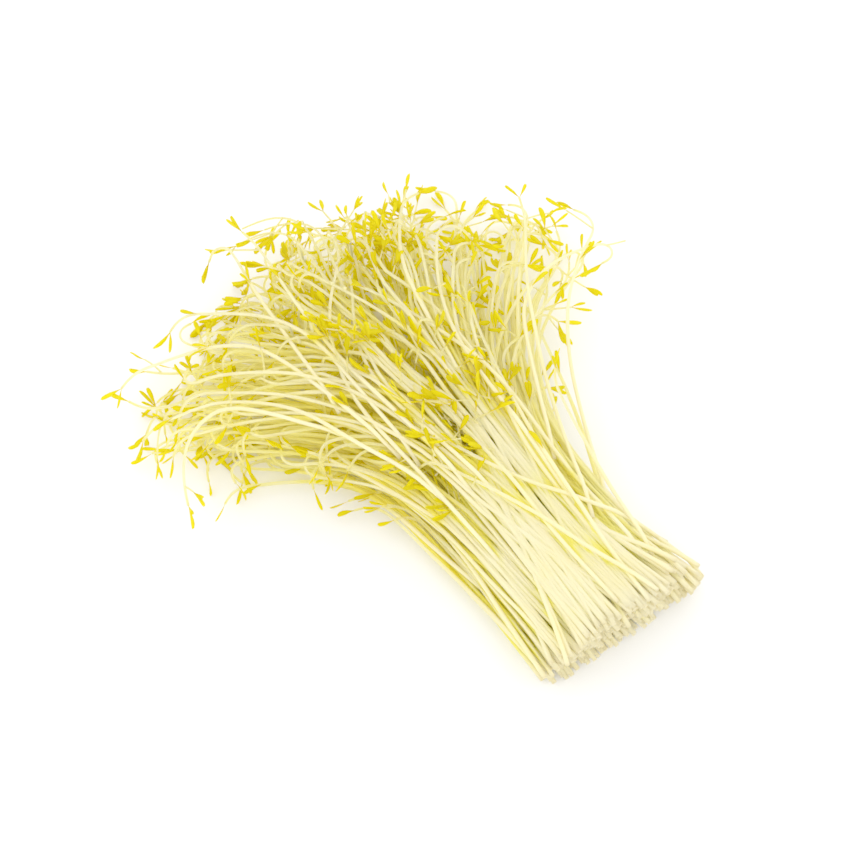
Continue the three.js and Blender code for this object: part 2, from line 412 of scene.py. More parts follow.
def layOnHeap(path, steps, radius, bed):
    # The height of each step's middle, resting on the heap or arching freely over it. Above the
    # height under, it is pressed down more and more, to stay near the height cover.
    under, cover = bed["under"], bed["cover"]
    fine = np.linspace(0, 1, heap["restSteps"])
    even = np.linspace(0, 1, len(path))
    spot = np.stack([np.interp(fine, even, path[:, 0]), np.interp(fine, even, path[:, 1])], 1)
    thick = np.interp(fine, steps, radius)
    need = needOf(spot, sidewaysOf(spot), thick)
    low = np.searchsorted(steps, fine, side="right") - 1
    low = np.clip(low, 0, len(steps) - 2)
    floor = np.maximum(radius, bed["springy"] * under * smooth(steps, *heap["springsOver"]))
    np.maximum.at(floor, low, need)
    np.maximum.at(floor, low + 1, need)
    height = floor.copy()
    gap = np.diff(steps) * len(path) * np.linalg.norm(path[1] - path[0])
    share = gap[:-1] / (gap[:-1] + gap[1:])
    sag = gap[:-1] * gap[1:] * 0.5 / heap["bendRadius"]
    for _ in range(heap["bendRounds"]):
        straight = height[:-2] * (1 - share) + height[2:] * share
        height[1:-1] = np.maximum(floor[1:-1], straight - sag)
    for _ in range(heap["easeRounds"]):
        eased = height.copy()
        eased[1:-1] = 0.25 * height[:-2] + 0.5 * height[1:-1] + 0.25 * height[2:]
        height = np.maximum(height, eased)
    room = np.maximum(1.0, cover - under)
    above = np.maximum(0, height - under)
    return np.minimum(height, under) + room * (1 - np.exp(-above / room))


def stamp(points, radius):
    # Adds a laid tube to the heap.
    gaps = np.linalg.norm(np.diff(points, axis=0), axis=1)
    total = np.concatenate([[0], np.cumsum(gaps)])
    fine = np.linspace(0, total[-1], max(4, int(total[-1] / heap["stampStep"])))
    spot = np.stack([np.interp(fine, total, points[:, k]) for k in range(3)], 1)
    thick = np.interp(fine, total, radius)
    side = sidewaysOf(spot[:, :2])
    for share in heap["stampedAt"]:
        top = spot[:, 2] + thick * math.sqrt(1 - share * share)
        np.maximum.at(field, cellsAt(spot[:, :2] + side * (thick * share)[:, None]), top)


def unit(vector):
    return vector / np.linalg.norm(vector)


def framesOf(points):
    ahead = np.gradient(points, axis=0)
    ahead /= np.maximum(1e-9, np.linalg.norm(ahead, axis=1))[:, None]
    side = np.cross(ahead, [0, 0, 1.0])
    side /= np.maximum(1e-9, np.linalg.norm(side, axis=1))[:, None]
    return side, np.cross(side, ahead)


def addForm(bm, form, places, tone):
    first = len(bm.verts)
    bm.from_mesh(form)
    bm.verts.ensure_lookup_table()
    toneLayer = bm.verts.layers.float["tone"]
    for vert, place in zip(bm.verts[first:], places.tolist()):
        vert.co = place
        vert[toneLayer] = tone


def addTube(bm, form, points, radius, tone, roll=0.0):
    # Bends a stem's form along the points, which have to be as many as its rings.
    points = np.minimum(points, [np.inf, np.inf, boxHigh[2] - 0.5])
    side, top = framesOf(points)
    shape = pointsOf[form.name]
    ring = np.rint(shape[:, 2] * (len(points) - 1)).astype(int)
    cosRoll, sinRoll = math.cos(roll), math.sin(roll)
    x = shape[:, 0] * cosRoll - shape[:, 1] * sinRoll
    y = shape[:, 0] * sinRoll + shape[:, 1] * cosRoll
    places = points[ring] + (side[ring] * x[:, None] + top[ring] * y[:, None]) * radius[ring][:, None]
    addForm(bm, form, places * mm, tone)


def addLeaf(bm, foot, direction, roll, length, width, tone):
    ahead = unit(direction)
    side = np.cross(ahead, [0, 0, 1.0])
    side /= max(1e-6, np.linalg.norm(side))
    top = np.cross(side, ahead)
    breadth = side * math.cos(roll) + top * math.sin(roll)
    up = top * math.cos(roll) - side * math.sin(roll)
    form = leaves[int(rng.integers(len(leaves)))]
    shape = pointsOf[form.name]
    places = foot + np.outer(shape[:, 1] * length, ahead) + np.outer(shape[:, 0] * width, breadth)
    places += np.outer(shape[:, 2] * width, up)
    low, high = places.min(0), places.max(0)
    room = leaf["roomOutside"]
    if (low[:2] < boxLow[:2] - room).any() or (high[:2] > boxHigh[:2] + room).any():
        return
    places[:, 2] += max(leaf["offFloor"] - low[2], 0) - max(high[2] - boxHigh[2], 0)
    addForm(bm, form, places * mm, tone)
    stamp(np.stack([foot, foot + ahead * length]), np.full(2, leaf["heapRadius"]))


def turnedBy(direction, yaw, pitch):
    yaw, pitch = math.radians(yaw), math.radians(pitch)
    flat = unit(np.array([
        direction[0] * math.cos(yaw) + direction[1] * math.sin(yaw),
        direction[1] * math.cos(yaw) - direction[0] * math.sin(yaw),
        direction[2],
    ]))
    level = math.hypot(flat[0], flat[1])
    rise = math.atan2(flat[2], level) + pitch
    return np.array([flat[0] / level * math.cos(rise), flat[1] / level * math.cos(rise), math.sin(rise)])


def leafSize():
    # Shorter leaflets are narrower too.
    length = rng.uniform(*leaf["length"])
    share = leaf["narrower"]
    return length, rng.uniform(*leaf["width"]) * (share + (1 - share) * length / leaf["length"][1])


def addTuft(bm, foot, ahead, tone, leafy=1.0):
    count = int(rng.choice([1, 2, 3, 4], p=tuft["chances"]))
    if rng.random() > leafy:
        count = 1
    spreadAngle = rng.choice([rng.uniform(*tuft["narrow"]), rng.uniform(*tuft["wide"])])
    wider = tuft["pairWider"] if count == 2 else 1
    twist = rng.uniform(0, math.pi)
    for k in range(count):
        aside = (k - (count - 1) / 2) * spreadAngle * wider + rng.normal(0, tuft["yawJitter"])
        length, width = leafSize()
        pitch = aside * math.sin(twist) + rng.normal(0, tuft["pitchJitter"])
        direction = turnedBy(ahead, aside * math.cos(twist), pitch)
        roll = twist + rng.normal(0, tuft["rollJitter"])
        addLeaf(bm, foot, direction, roll, length, width, tone + rng.normal(0, tuft["toneJitter"]))


def addPressed(bm, points, radius, at, tone):
    ahead = points[at + 1] - points[at]
    for _ in range(int(rng.choice([1, 2], p=pressed["chances"]))):
        length, width = leafSize()
        yaw = rng.choice([-1, 1]) * rng.uniform(*pressed["yaw"])
        direction = turnedBy(unit(ahead), yaw, rng.uniform(*pressed["pitch"]))
        foot = points[at] + [0, 0, radius[at] * pressed["outFromMiddle"]] + ahead * rng.uniform(0, 0.5)
        roll = rng.normal(0, pressed["rollJitter"])
        addLeaf(bm, foot, direction, roll, length, width * pressed["narrower"], tone)


def addStalk(bm, points, at, tone):
    # A thin side stalk that ends in leaflets.
    ahead = unit(points[at + 1] - points[at])
    yaw = rng.choice([-1, 1]) * rng.uniform(*stalkShape["yaw"])
    length = rng.uniform(*stalkShape["length"])
    direction = turnedBy(ahead, yaw, rng.uniform(*stalkShape["pitch"]))
    yaw = rng.normal(0, stalkShape["bendYaw"])
    bend = turnedBy(direction, yaw, rng.uniform(*stalkShape["bendPitch"]))
    t = np.linspace(0, 1, stalkShape["rings"])[:, None]
    line = points[at] + direction * t * length + bend * t * t * length * stalkShape["bend"]
    line[:, 2] = np.maximum(line[:, 2], stalkShape["offFloor"])
    addTube(bm, stalk, line, np.linspace(*stalkShape["radius"], stalkShape["rings"]), tone)
    addTuft(bm, line[-1], unit(line[-1] - line[-2]), tone)


# Where leaves crowd on the heap after a layer is laid, and the lock of that layer they belong to.
leafNests = {
    "middle": [
        {"lock": 4, "x": 15, "y": 36, "reach": 12, "stalks": 14, "heading": -5},
        {"lock": 3, "x": -1, "y": -13, "reach": 8, "stalks": 12, "heading": -12},
        {"lock": 2, "x": -21, "y": 39, "reach": 12, "stalks": 12, "heading": -40},
    ],
    "upper": [
        {"lock": 4, "x": 20, "y": 42, "reach": 9, "stalks": 12, "heading": 5},
        {"lock": 5, "x": 43, "y": 39, "reach": 5, "stalks": 5, "heading": 20},
        {"lock": 3, "x": -7, "y": 43, "reach": 6, "stalks": 8, "heading": -20},
        {"lock": 3, "x": 1, "y": -12, "reach": 6, "stalks": 8, "heading": -10},
        {"lock": 2, "x": -13, "y": 21, "reach": 5, "stalks": 6, "heading": -20},
    ],
    "top": [
        {"lock": 3, "x": 23, "y": 49, "reach": 7, "stalks": 10, "heading": 5},
        {"lock": 3, "x": 39, "y": 63, "reach": 4, "stalks": 7, "heading": 10},
        {"lock": 2, "x": -2, "y": 16, "reach": 22, "stalks": 18, "heading": -15},
        {"lock": 2, "x": -6, "y": -12, "reach": 15, "stalks": 20, "heading": -8},
        {"lock": 3, "x": 14, "y": 47, "reach": 8, "stalks": 14, "heading": 0},
        {"lock": 4, "x": 15, "y": -12, "reach": 10, "stalks": 17, "heading": 12},
        {"lock": 4, "x": 20, "y": 0, "reach": 18, "stalks": 10, "heading": 10},
    ],
}

# The stalks of a nest belong to shoots that are hidden in the heap. The ones in a hollow stand higher.
nestStalk = {
    "radius": (0.24, 0.18),
    "length": (2, 4.5),
    "headingJitter": 40,
    "aboveHeap": 0.2,
    "lift": 1.2,
    "hollowLift": 3.0,
    "pitch": (-10, 30),
    "spread": 0.55,
    "hollowAlong": (-0.9, 0.6),
    "hollowAside": 0.5,
}


def addLeafyStalk(bm, spot, heading, lift):
    heading = math.radians(heading + rng.normal(0, nestStalk["headingJitter"]))
    flat = np.array([math.sin(heading), math.cos(heading)])
    t = np.linspace(0, 1, stalkShape["rings"])[:, None]
    line = np.zeros((len(t), 3))
    line[:, :2] = spot + flat * t * rng.uniform(*nestStalk["length"])
    heapTop = field[cellsAt(line[:, :2])].max()
    line[:, 2] = heapTop + nestStalk["aboveHeap"] + rng.uniform(0, lift) * t[:, 0]
    addTube(bm, stalk, line, np.linspace(*nestStalk["radius"], len(t)), rng.random())
    direction = turnedBy(np.array([*flat, 0.0]), 0, rng.uniform(*nestStalk["pitch"]))
    addTuft(bm, line[-1], direction, rng.random())


def addNest(bm, nest):
    for _ in range(nest["stalks"]):
        spot = np.array([nest["x"], nest["y"]]) + rng.normal(0, nest["reach"] * nestStalk["spread"], 2)
        addLeafyStalk(bm, spot, nest["heading"], nestStalk["lift"])


# Where the top shoots lie apart and show the golden leaves below. The length is on each side of the
# middle, and so is the width. The stalks in it belong to that lock of the upper layer.
hollows = [
    {"x": -2, "y": -14, "heading": -5, "length": 15, "width": 2.0, "stalks": 24, "lock": 2},
    {"x": -15, "y": -18, "heading": -15, "length": 15, "width": 1.6, "stalks": 16, "lock": 1},
    {"x": -12, "y": 22, "heading": 2, "length": 9, "width": 2.0, "stalks": 12, "lock": 3},
    {"x": 17, "y": 40, "heading": 26, "length": 14, "width": 3.2, "stalks": 16, "lock": 5},
    {"x": -9, "y": 45, "heading": 3, "length": 12, "width": 2.2, "stalks": 12, "lock": 3},
    {"x": 7, "y": -32, "heading": -3, "length": 8, "width": 0.6, "stalks": 2, "lock": 3},
    {"x": 20, "y": -10, "heading": 13, "length": 9, "width": 1.6, "stalks": 3, "lock": 5},
    {"x": 1, "y": 10, "heading": 6, "length": 14, "width": 2.2, "stalks": 20, "lock": 4},
]


def partAround(path, hollow):
    # Bends a path to one side of a hollow.
    heading = math.radians(hollow["heading"])
    ahead = np.array([math.sin(heading), math.cos(heading)])
    side = np.array([math.cos(heading), -math.sin(heading)])
    offset = path - [hollow["x"], hollow["y"]]
    along, aside = offset @ ahead / hollow["length"], offset @ side
    inside = np.abs(along) < 1
    if not inside.any():
        return path
    fading = np.exp(-np.abs(aside) / (2 * hollow["width"]))
    pushed = hollow["width"] * np.clip(1 - along ** 2, 0, 1) * fading
    return path + np.outer(pushed * (1 if aside[inside].mean() > 0 else -1), side)


def fillHollow(bm, hollow):
    heading = math.radians(hollow["heading"])
    for _ in range(hollow["stalks"]):
        along = rng.uniform(*nestStalk["hollowAlong"]) * hollow["length"]
        aside = rng.normal(0, nestStalk["hollowAside"]) * hollow["width"]
        spot = np.array([
            hollow["x"] + along * math.sin(heading) + aside * math.cos(heading),
            hollow["y"] + along * math.cos(heading) - aside * math.sin(heading),
        ])
        addLeafyStalk(bm, spot, hollow["heading"], nestStalk["hollowLift"])


# Thin stalks that curl out over the rim of the heap. x, y and z are where each one ends, heading is
# the way it sets out, and turn is how far it curls from there.
curls = [
    {"lock": 1, "x": -7, "y": 88, "z": 12, "heading": 14, "turn": -80, "length": 50},
    {"lock": 1, "x": -12, "y": 84, "z": 12, "heading": 6, "turn": -70, "length": 44},
    {"lock": 1, "x": -2, "y": 83, "z": 13, "heading": 18, "turn": -70, "length": 46},
    {"lock": 2, "x": 2, "y": 75, "z": 15, "heading": -20, "turn": 70, "length": 14},
    {"lock": 3, "x": 16, "y": 77, "z": 14, "heading": 20, "turn": -14, "length": 42},
    {"lock": 3, "x": 15, "y": 69, "z": 16, "heading": 60, "turn": -60, "length": 14},
    {"lock": 0, "x": -21, "y": 67, "z": 13, "heading": 10, "turn": -60, "length": 36},
    {"lock": 0, "x": -30, "y": 65, "z": 12, "heading": 2, "turn": -66, "length": 34},
    {"lock": 3, "x": 22, "y": 68, "z": 14, "heading": -25, "turn": 70, "length": 15},
]


def addCurl(bm, curl):
    t = np.linspace(0, 1, curlShape["rings"])
    turned = curl["turn"] * smooth(t[1:], *curlShape["turnOver"])
    path = trace((0, 0), curl["length"], curl["heading"] + turned)
    path += np.array([curl["x"], curl["y"]]) - path[-1]
    foot = max(field[cellsAt(path[:1])][0] - curlShape["sunk"], curlShape["lowest"])
    height = foot + (curl["z"] - foot) * t + curlShape["arch"] * np.sin(t * math.pi)
    heapTop = field[cellsAt(path)] * (1 - smooth(t, *curlShape["leavesHeap"]))
    height = np.maximum(height, heapTop + curlShape["clearance"])
    points = np.column_stack([path, height])
    tone = rng.random()
    addTube(bm, curledStalk, points, np.linspace(*curlShape["radius"], len(t)), tone)
    addTuft(bm, points[-1], unit(points[-1] - points[-2]), tone)
    addStalk(bm, points, int(rng.integers(*curlShape["stalkAt"])), tone)


# How many shoots grow from a lock of each layer, how thick they are, and how unlike each other. crossing
# is the share that cross the others in each layer. A change comes in over the stretch that is named
# Over: from 0 at the cut end to 1 at the tip, or for leftBareOver from the middle to the left.
growth = {
    "perLock": [9, 9, 11, 13, 16],
    "leftward": 0.12,
    "mingle": 1.4,
    "thickness": (0.88, 1.1),
    "cutJitter": 0.9,
    "cutInside": 0.4,
    "headingJitter": 1.6,
    "crossing": [0.03, 0.05, 0.08, 0.26, 0.46],
    "crossingJitter": 9.0,
    "crossingBack": 0.5,
    "crossingFades": 0.7,
    "crossingOver": (0.3, 0.8),
    "splay": 26.0,
    "splayRight": (0.3, 1),
    "splayLayers": (0, 3),
    "splayAside": 0.2,
    "splayForward": 0.25,
    "splayOver": (0.05, 0.28),
    "convergeOver": (0, 0.4),
    "turnAt": 0.25,
    "turnLaterInside": 0.2,
    "turnEarlierRight": 0.07,
    "turnJitter": 0.05,
    "turnedAt": 0.93,
    "farLeft": {"u": -0.7, "turnAt": 0.35, "shorter": 0.08, "shorterOver": (0.6, 0.9)},
    "tipJitter": 13.0,
    "tipInwards": 3,
    "waves": 2,
    "waveHeading": 1.6,
    "waveCount": (0.8, 2.6),
    "wavesOver": (0.05, 0.4),
    "hook": (10, 165),
    "shortHook": (5, 60),
    "hookLength": 11,
    "shortShare": 0.34,
    "shortReach": (0.5, 0.88),
    "fullReach": (0.9, 1.04),
    "tries": 14,
    "shrink": 0.985,
    "margin": 3.2,
    "springy": (0.5, 0.95),
    "slack": 1.2,
    "loft": 0.1,
    "loftOver": (0.35, 0.75),
    "tipLift": (-2, 3),
    "tuckedOver": (0, 0.12),
    "tone": 0.25,
    "toneJitter": 0.5,
    "toneToRight": 0.25,
    "stalks": 0.34,
    "stalkRings": (4, 12),
    "pressed": 0.55,
    "leftBare": 0.7,
    "leftBareOver": (-0.1, 0.4),
}
pathSteps = 200
alongPath = (np.arange(pathSteps) + 0.5) / pathSteps


def growShoot(bm, path, steps, radius, bed, tipLift, tone, leafy=1.0, tucked=0.0):
    # Lays one shoot on the heap and gives it its leaflets. tucked sinks its foot.
    length = np.linalg.norm(np.diff(path, axis=0), axis=1).sum()
    height = layOnHeap(path, steps, radius, bed)
    tipPart = smooth(steps, 1 - stemShape["tipLength"] / length, 1)
    sunk = tucked * (1 - smooth(steps, *growth["tuckedOver"]))
    height = np.maximum(height + tipLift * tipPart - sunk, radius)
    even = np.linspace(0, 1, len(path))
    points = np.stack([np.interp(steps, even, path[:, 0]), np.interp(steps, even, path[:, 1]), height], 1)
    stamp(points, radius)
    addTube(bm, stem, points, radius, tone, rng.uniform(0, math.tau))
    addTuft(bm, points[-1], unit(points[-1] - points[-2]), tone, leafy)
    if rng.random() < growth["stalks"] * leafy:
        addStalk(bm, points, stemRings - int(rng.integers(*growth["stalkRings"])), tone)
    if rng.random() < growth["pressed"] * leafy:
        low, high = pressed["between"]
        reachable = np.flatnonzero((steps > low) & (steps < high))
        addPressed(bm, points, radius, int(rng.choice(reachable)), tone)


def insideBox(path):
    # A shoot stays 1 mm inside the solids' box on every side, and its tip stays margin inside.
    low, high, room = boxLow[:2], boxHigh[:2], growth["margin"]
    tipInside = (path[-1] > low + room).all() and (path[-1] < high - room).all()
    return tipInside and (path > low + 1).all() and (path < high - 1).all()


def fanPath(layer, number, u, lockFoot, share, short):
    # The way that a shoot of the fan lies over the surface, shortened until it stays in the box.
    aside = rng.normal(0, growth["headingJitter"])
    if rng.random() < growth["crossing"][number]:
        aside = rng.normal(0, growth["crossingJitter"])
    waves = [
        (rng.normal(0, growth["waveHeading"]), rng.uniform(*growth["waveCount"]), rng.uniform(0, 1))
        for _ in range(growth["waves"])
    ]
    turnAt = growth["turnAt"] + growth["turnLaterInside"] * (1 - abs(u)) - growth["turnEarlierRight"] * u
    turnAt += rng.normal(0, growth["turnJitter"])
    if u < growth["farLeft"]["u"]:
        turnAt = max(turnAt, growth["farLeft"]["turnAt"])
    splayed = growth["splay"] * rng.random() * smooth(u, *growth["splayRight"])
    splayed = splayed * smooth(number, *growth["splayLayers"])
    cutX = bunch["cutEnd"][0] + u * layer["halfWidth"] - aside * growth["crossingBack"]
    cutX += growth["splayAside"] * splayed
    cutY = lockFoot + rng.normal(0, growth["cutJitter"]) + growth["splayForward"] * splayed
    start = (cutX, max(cutY, boxLow[1] + growth["cutInside"]))
    for _ in range(growth["tries"]):
        tip = across(bunch["tipHeading"], u) + rng.normal(0, growth["tipJitter"])
        tip = max(tip, bunch["tipHeading"][0] + growth["tipInwards"])
        hook = rng.choice([-1, 1]) * rng.uniform(*growth["shortHook" if short else "hook"])
        length = (across(bunch["reach"], u) - layer["shorter"]) * share
        grown = alongPath * share
        heading = layer["turn"] - bunch["converge"] * u * (1 - smooth(grown, *growth["convergeOver"]))
        fading = growth["crossingFades"] * smooth(grown, *growth["crossingOver"])
        heading = heading + aside * (1 - fading)
        heading = heading - splayed * (1 - smooth(grown, *growth["splayOver"]))
        heading = heading + (tip - heading) * smooth(grown, turnAt, growth["turnedAt"])
        for strength, count, offset in waves:
            wave = strength * np.sin(math.tau * (count * alongPath + offset))
            heading = heading + wave * smooth(alongPath, *growth["wavesOver"])
        heading = heading + hook * smooth(alongPath, 1 - growth["hookLength"] / length, 1)
        path = trace(start, length, heading)
        if insideBox(path):
            break
        share *= growth["shrink"]
    return path, length, share


def fanShoot(bm, layer, number, u, lockFoot):
    short = rng.random() < growth["shortShare"]
    share = rng.uniform(*growth["shortReach" if short else "fullReach"])
    share *= 1 - growth["farLeft"]["shorter"] * smooth(-u, *growth["farLeft"]["shorterOver"])
    path, length, share = fanPath(layer, number, u, lockFoot, share, short)
    steps = stepsAlong(length)
    radius = radiusAlong(steps, stemShape["footRadius"] * rng.uniform(*growth["thickness"]))
    path = settleSideways(path, radius[10], u)
    if layer["name"] == "top":
        for hollow in hollows:
            path = partAround(path, hollow)
    grown = steps * share
    middle, half = lockHeight(layer, number, u, grown), halfHeightAt(grown)
    loft = 1 + growth["loft"] * (1 - smooth(grown, *growth["loftOver"]))
    tone = growth["tone"] + growth["toneJitter"] * rng.random() + growth["toneToRight"] * u
    bed = {
        "under": (middle - half) * loft,
        "cover": (middle + half) * loft + growth["slack"],
        "springy": rng.uniform(*growth["springy"]),
    }
    leafy = 1 - growth["leftBare"] * smooth(-u, *growth["leftBareOver"])
    growShoot(bm, path, steps, radius, bed, rng.uniform(*growth["tipLift"]), tone, leafy)


# The loose shoots rest on top of all, and those that start further along are tucked in at the foot.
loose = {
    "thickness": 0.9,
    "under": 24.0,
    "cover": 33.0,
    "springy": 0.9,
    "turnOver": (0.35, 0.9),
    "hookOver": (0.86, 1),
    "tuckedFrom": 8,
    "tucked": 3.0,
    "tipLift": (0, 2),
    "tone": 0.85,
}


def looseShoot(bm, row):
    start = (bunch["cutEnd"][0] + row["x"], bunch["cutEnd"][1] + row["y"])
    turned = row["heading"] + row["turn"] * smooth(alongPath, *loose["turnOver"])
    path = trace(start, row["length"], turned + row["hook"] * smooth(alongPath, *loose["hookOver"]))
    steps = stepsAlong(row["length"])
    radius = radiusAlong(steps, stemShape["footRadius"] * loose["thickness"])
    bed = {
        "under": np.full(len(steps), loose["under"]),
        "cover": np.full(len(steps), loose["cover"]),
        "springy": loose["springy"],
    }
    tucked = loose["tucked"] if row["y"] > loose["tuckedFrom"] else 0.0
    tipLift = rng.uniform(*loose["tipLift"])
    growShoot(bm, path, steps, radius, bed, tipLift, loose["tone"], tucked=tucked)


def newMaterial(name):
    material = bpy.data.materials.new(name)
    material.use_nodes = True
    tree = material.node_tree
    return material, tree, tree.nodes["Principled BSDF"]


def readAttribute(tree, name):
    node = tree.nodes.new("ShaderNodeAttribute")
    node.attribute_name = name
    return node.outputs["Fac"]


def readMap(tree):
    node = tree.nodes.new("ShaderNodeUVMap")
    node.uv_map = "shootMap"
    return node.outputs["UV"]


def readPlace(tree):
    return tree.nodes.new("ShaderNodeTexCoord").outputs["Object"]


def ramp(tree, factor, stops):
    node = tree.nodes.new("ShaderNodeValToRGB")
    while len(node.color_ramp.elements) < len(stops):
        node.color_ramp.elements.new(0.5)
    for element, (place, colour) in zip(node.color_ramp.elements, stops):
        element.position = place
        element.color = (*colour, 1)
    tree.links.new(factor, node.inputs["Fac"])
    return node.outputs["Color"]


def greyRamp(tree, factor, stops):
    return ramp(tree, factor, [(place, (grey, grey, grey)) for place, grey in stops])


def mixColours(tree, factor, first, second, blend="MIX"):
    node = tree.nodes.new("ShaderNodeMix")
    node.data_type = "RGBA"
    node.blend_type = blend
    if isinstance(factor, float):
        node.inputs["Factor"].default_value = factor
    else:
        tree.links.new(factor, node.inputs["Factor"])
    for socket, value in ((node.inputs["A"], first), (node.inputs["B"], second)):
        if isinstance(value, tuple):
            socket.default_value = (*value, 1)
        else:
            tree.links.new(value, socket)
    return node.outputs["Result"]


def multiply(tree, first, second):
    node = tree.nodes.new("ShaderNodeMath")
    node.operation = "MULTIPLY"
    tree.links.new(first, node.inputs[0])
    tree.links.new(second, node.inputs[1])
    return node.outputs["Value"]


def noise(tree, vector, scale=1.0, detail=3.0, stretch=(1, 1, 1)):
    mapping = tree.nodes.new("ShaderNodeMapping")
    mapping.inputs["Scale"].default_value = stretch
    tree.links.new(vector, mapping.inputs["Vector"])
    node = tree.nodes.new("ShaderNodeTexNoise")
    node.inputs["Scale"].default_value = scale
    node.inputs["Detail"].default_value = detail
    tree.links.new(mapping.outputs["Vector"], node.inputs["Vector"])
    return node.outputs["Fac"]


def mapRange(tree, value, fromLow, fromHigh, toLow, toHigh):
    node = tree.nodes.new("ShaderNodeMapRange")
    node.inputs["From Min"].default_value = fromLow
    node.inputs["From Max"].default_value = fromHigh
    node.inputs["To Min"].default_value = toLow
    node.inputs["To Max"].default_value = toHigh
    tree.links.new(value, node.inputs["Value"])
    return node.outputs["Result"]


def spread(tree, value, low, high):
    # Noise lies mostly between 0.3 and 0.7.
    return mapRange(tree, value, 0.3, 0.7, low, high)


def addBump(tree, shader, height, strength, distance):
    bump = tree.nodes.new("ShaderNodeBump")
    bump.inputs["Strength"].default_value = strength
    bump.inputs["Distance"].default_value = distance
    tree.links.new(height, bump.inputs["Height"])
    tree.links.new(bump.outputs["Normal"], shader.inputs["Normal"])
    return bump.outputs["Normal"]


def letThrough(tree, shader, colour, normal, along, share):
    # Mixes in the light that passes through: more of it near the tops, which are thinner.
    glow = tree.nodes.new("ShaderNodeBsdfTranslucent")
    tree.links.new(colour, glow.inputs["Color"])
    tree.links.new(normal, glow.inputs["Normal"])
    mixed = tree.nodes.new("ShaderNodeMixShader")
    tree.links.new(mapRange(tree, along, 0.2, 0.7, *share), mixed.inputs["Fac"])
    tree.links.new(shader.outputs["BSDF"], mixed.inputs[1])
    tree.links.new(glow.outputs["BSDF"], mixed.inputs[2])
    tree.links.new(mixed.outputs["Shader"], tree.nodes["Material Output"].inputs["Surface"])


# Colours along a stem from the cut end to the tip, then those that are mixed in. paintedShade and
# paintedDeepShade are painted shade: a golden tint where little light reaches. bumpDistance is in metres.
stemFinish = {
    "cut": (0.86, 0.729, 0.36),
    "tan": (0.95, 0.857, 0.468),
    "foot": (0.985, 0.891, 0.45),
    "middle": (0.99, 0.926, 0.54),
    "upper": (0.978, 0.972, 0.76),
    "tip": (0.95, 0.906, 0.405),
    "warmth": (1.0, 0.99, 0.86),
    "streak": (0.985, 0.916, 0.504),
    "streakStretch": (9, 26, 1),
    "streakShare": (0.0, 0.5),
    "pale": (0.985, 0.941, 0.684),
    "paleScale": 90.0,
    "paleShare": (0.0, 0.35),
    "paintedShade": (0.99, 0.94, 0.27),
    "paintedDeepShade": (0.995, 0.906, 0.072),
    "throughShare": (0.3, 0.85),
    "roughness": (0.34, 0.5),
    "specular": 0.3,
    "bumpStrength": 0.35,
    "bumpDistance": 0.00006,
}


def makeStemMaterial():
    look = stemFinish
    material, tree, shader = newMaterial("paleStem")
    along = readAttribute(tree, "along")
    body = ramp(tree, along, [
        (0.0, look["cut"]),
        (0.01, look["tan"]),
        (0.05, look["foot"]),
        (0.16, look["foot"]),
        (0.36, look["middle"]),
        (0.62, look["upper"]),
        (0.86, look["upper"]),
        (1.0, look["tip"]),
    ])
    warmer = mixColours(tree, 1.0, body, look["warmth"], "MULTIPLY")
    toned = mixColours(tree, readAttribute(tree, "tone"), warmer, body)
    streaks = noise(tree, readMap(tree), stretch=look["streakStretch"])
    blotches = noise(tree, readPlace(tree), look["paleScale"], 2.0)
    streaked = mixColours(tree, spread(tree, streaks, *look["streakShare"]), toned, look["streak"])
    pale = mixColours(tree, spread(tree, blotches, *look["paleShare"]), streaked, look["pale"])
    beyondFoot = greyRamp(tree, along, [(0.01, 0), (0.08, 1), (0.4, 1), (0.75, 0.4)])
    # Painted shade: stems that the heap hides from the sky turn golden, deepest where most is hidden.
    shaded = multiply(tree, readAttribute(tree, "paintedShade"), beyondFoot)
    golden = mixColours(tree, shaded, pale, look["paintedShade"])
    deepShadeMask = greyRamp(tree, shaded, [(0.6, 0), (1.0, 1)])
    shown = mixColours(tree, deepShadeMask, golden, look["paintedDeepShade"])
    tree.links.new(shown, shader.inputs["Base Color"])
    tree.links.new(spread(tree, streaks, *look["roughness"]), shader.inputs["Roughness"])
    shader.inputs["Specular IOR Level"].default_value = look["specular"]
    normal = addBump(tree, shader, streaks, look["bumpStrength"], look["bumpDistance"])
    letThrough(tree, shader, shown, normal, along, look["throughShare"])
    return material


# dark, gold and light are the tones of whole leaflets. rust is a faint band just above the foot.
leafFinish = {
    "dark": (0.86, 0.739, 0.001),
    "gold": (0.92, 0.822, 0.003),
    "light": (0.95, 0.867, 0.014),
    "foot": (0.84, 0.768, 0.10),
    "rust": (0.80, 0.58, 0.001),
    "veinStretch": (14, 3, 1),
    "veinShare": (0.0, 0.35),
    "spotScale": 900.0,
    "spotShare": (0.0, 0.3),
    "throughShare": (0.7, 0.7),
    "roughness": (0.5, 0.7),
    "specular": 0.08,
    "bumpStrength": 0.5,
    "bumpDistance": 0.00008,
}


